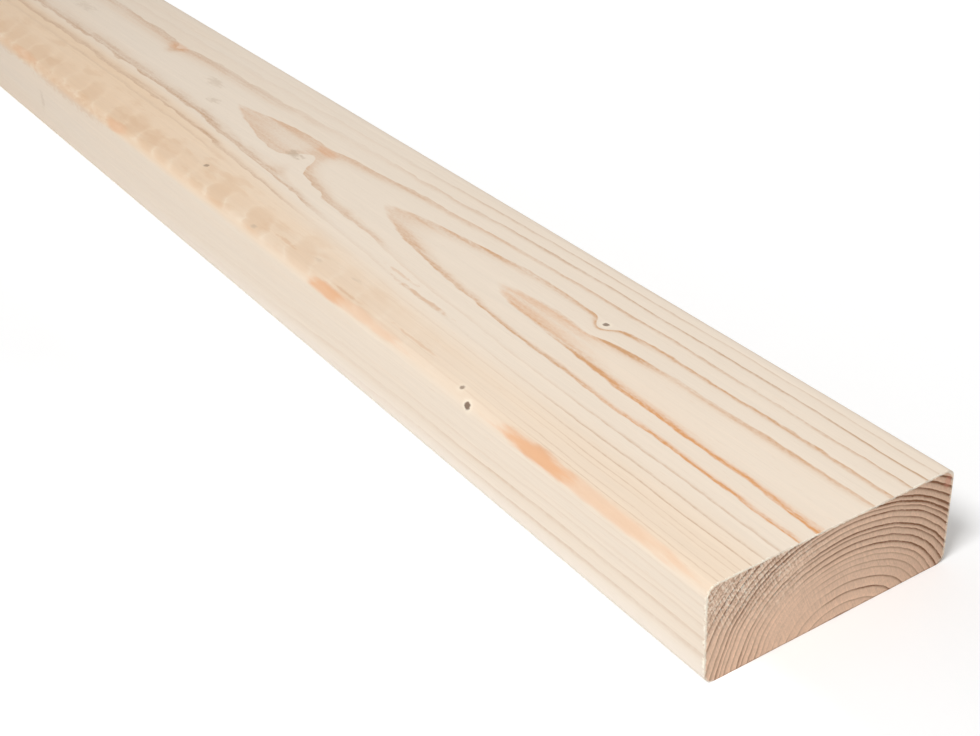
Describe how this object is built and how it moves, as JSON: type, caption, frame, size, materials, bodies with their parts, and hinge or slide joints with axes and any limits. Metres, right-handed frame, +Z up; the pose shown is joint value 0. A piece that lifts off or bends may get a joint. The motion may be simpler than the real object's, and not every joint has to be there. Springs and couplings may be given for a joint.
{
  "type": "timber lumber plank",
  "caption": "Planed softwood board of rectangular section with eased long arrises and square sawn ends, lying flat.",
  "frame": {"origin": "centre of the wide bottom face, halfway along the board and halfway across it", "axes": "+X along the board towards the end whose growth rings show, +Y across the width away from the more eased side, +Z up through the thickness"},
  "size_m": [2.4, 0.12, 0.044],
  "materials": {
    "softwood": "bare planed softwood, sawn end grain"
  },
  "bodies": {
    "root": {"plank": "softwood"}
  },
  "joints": []
}
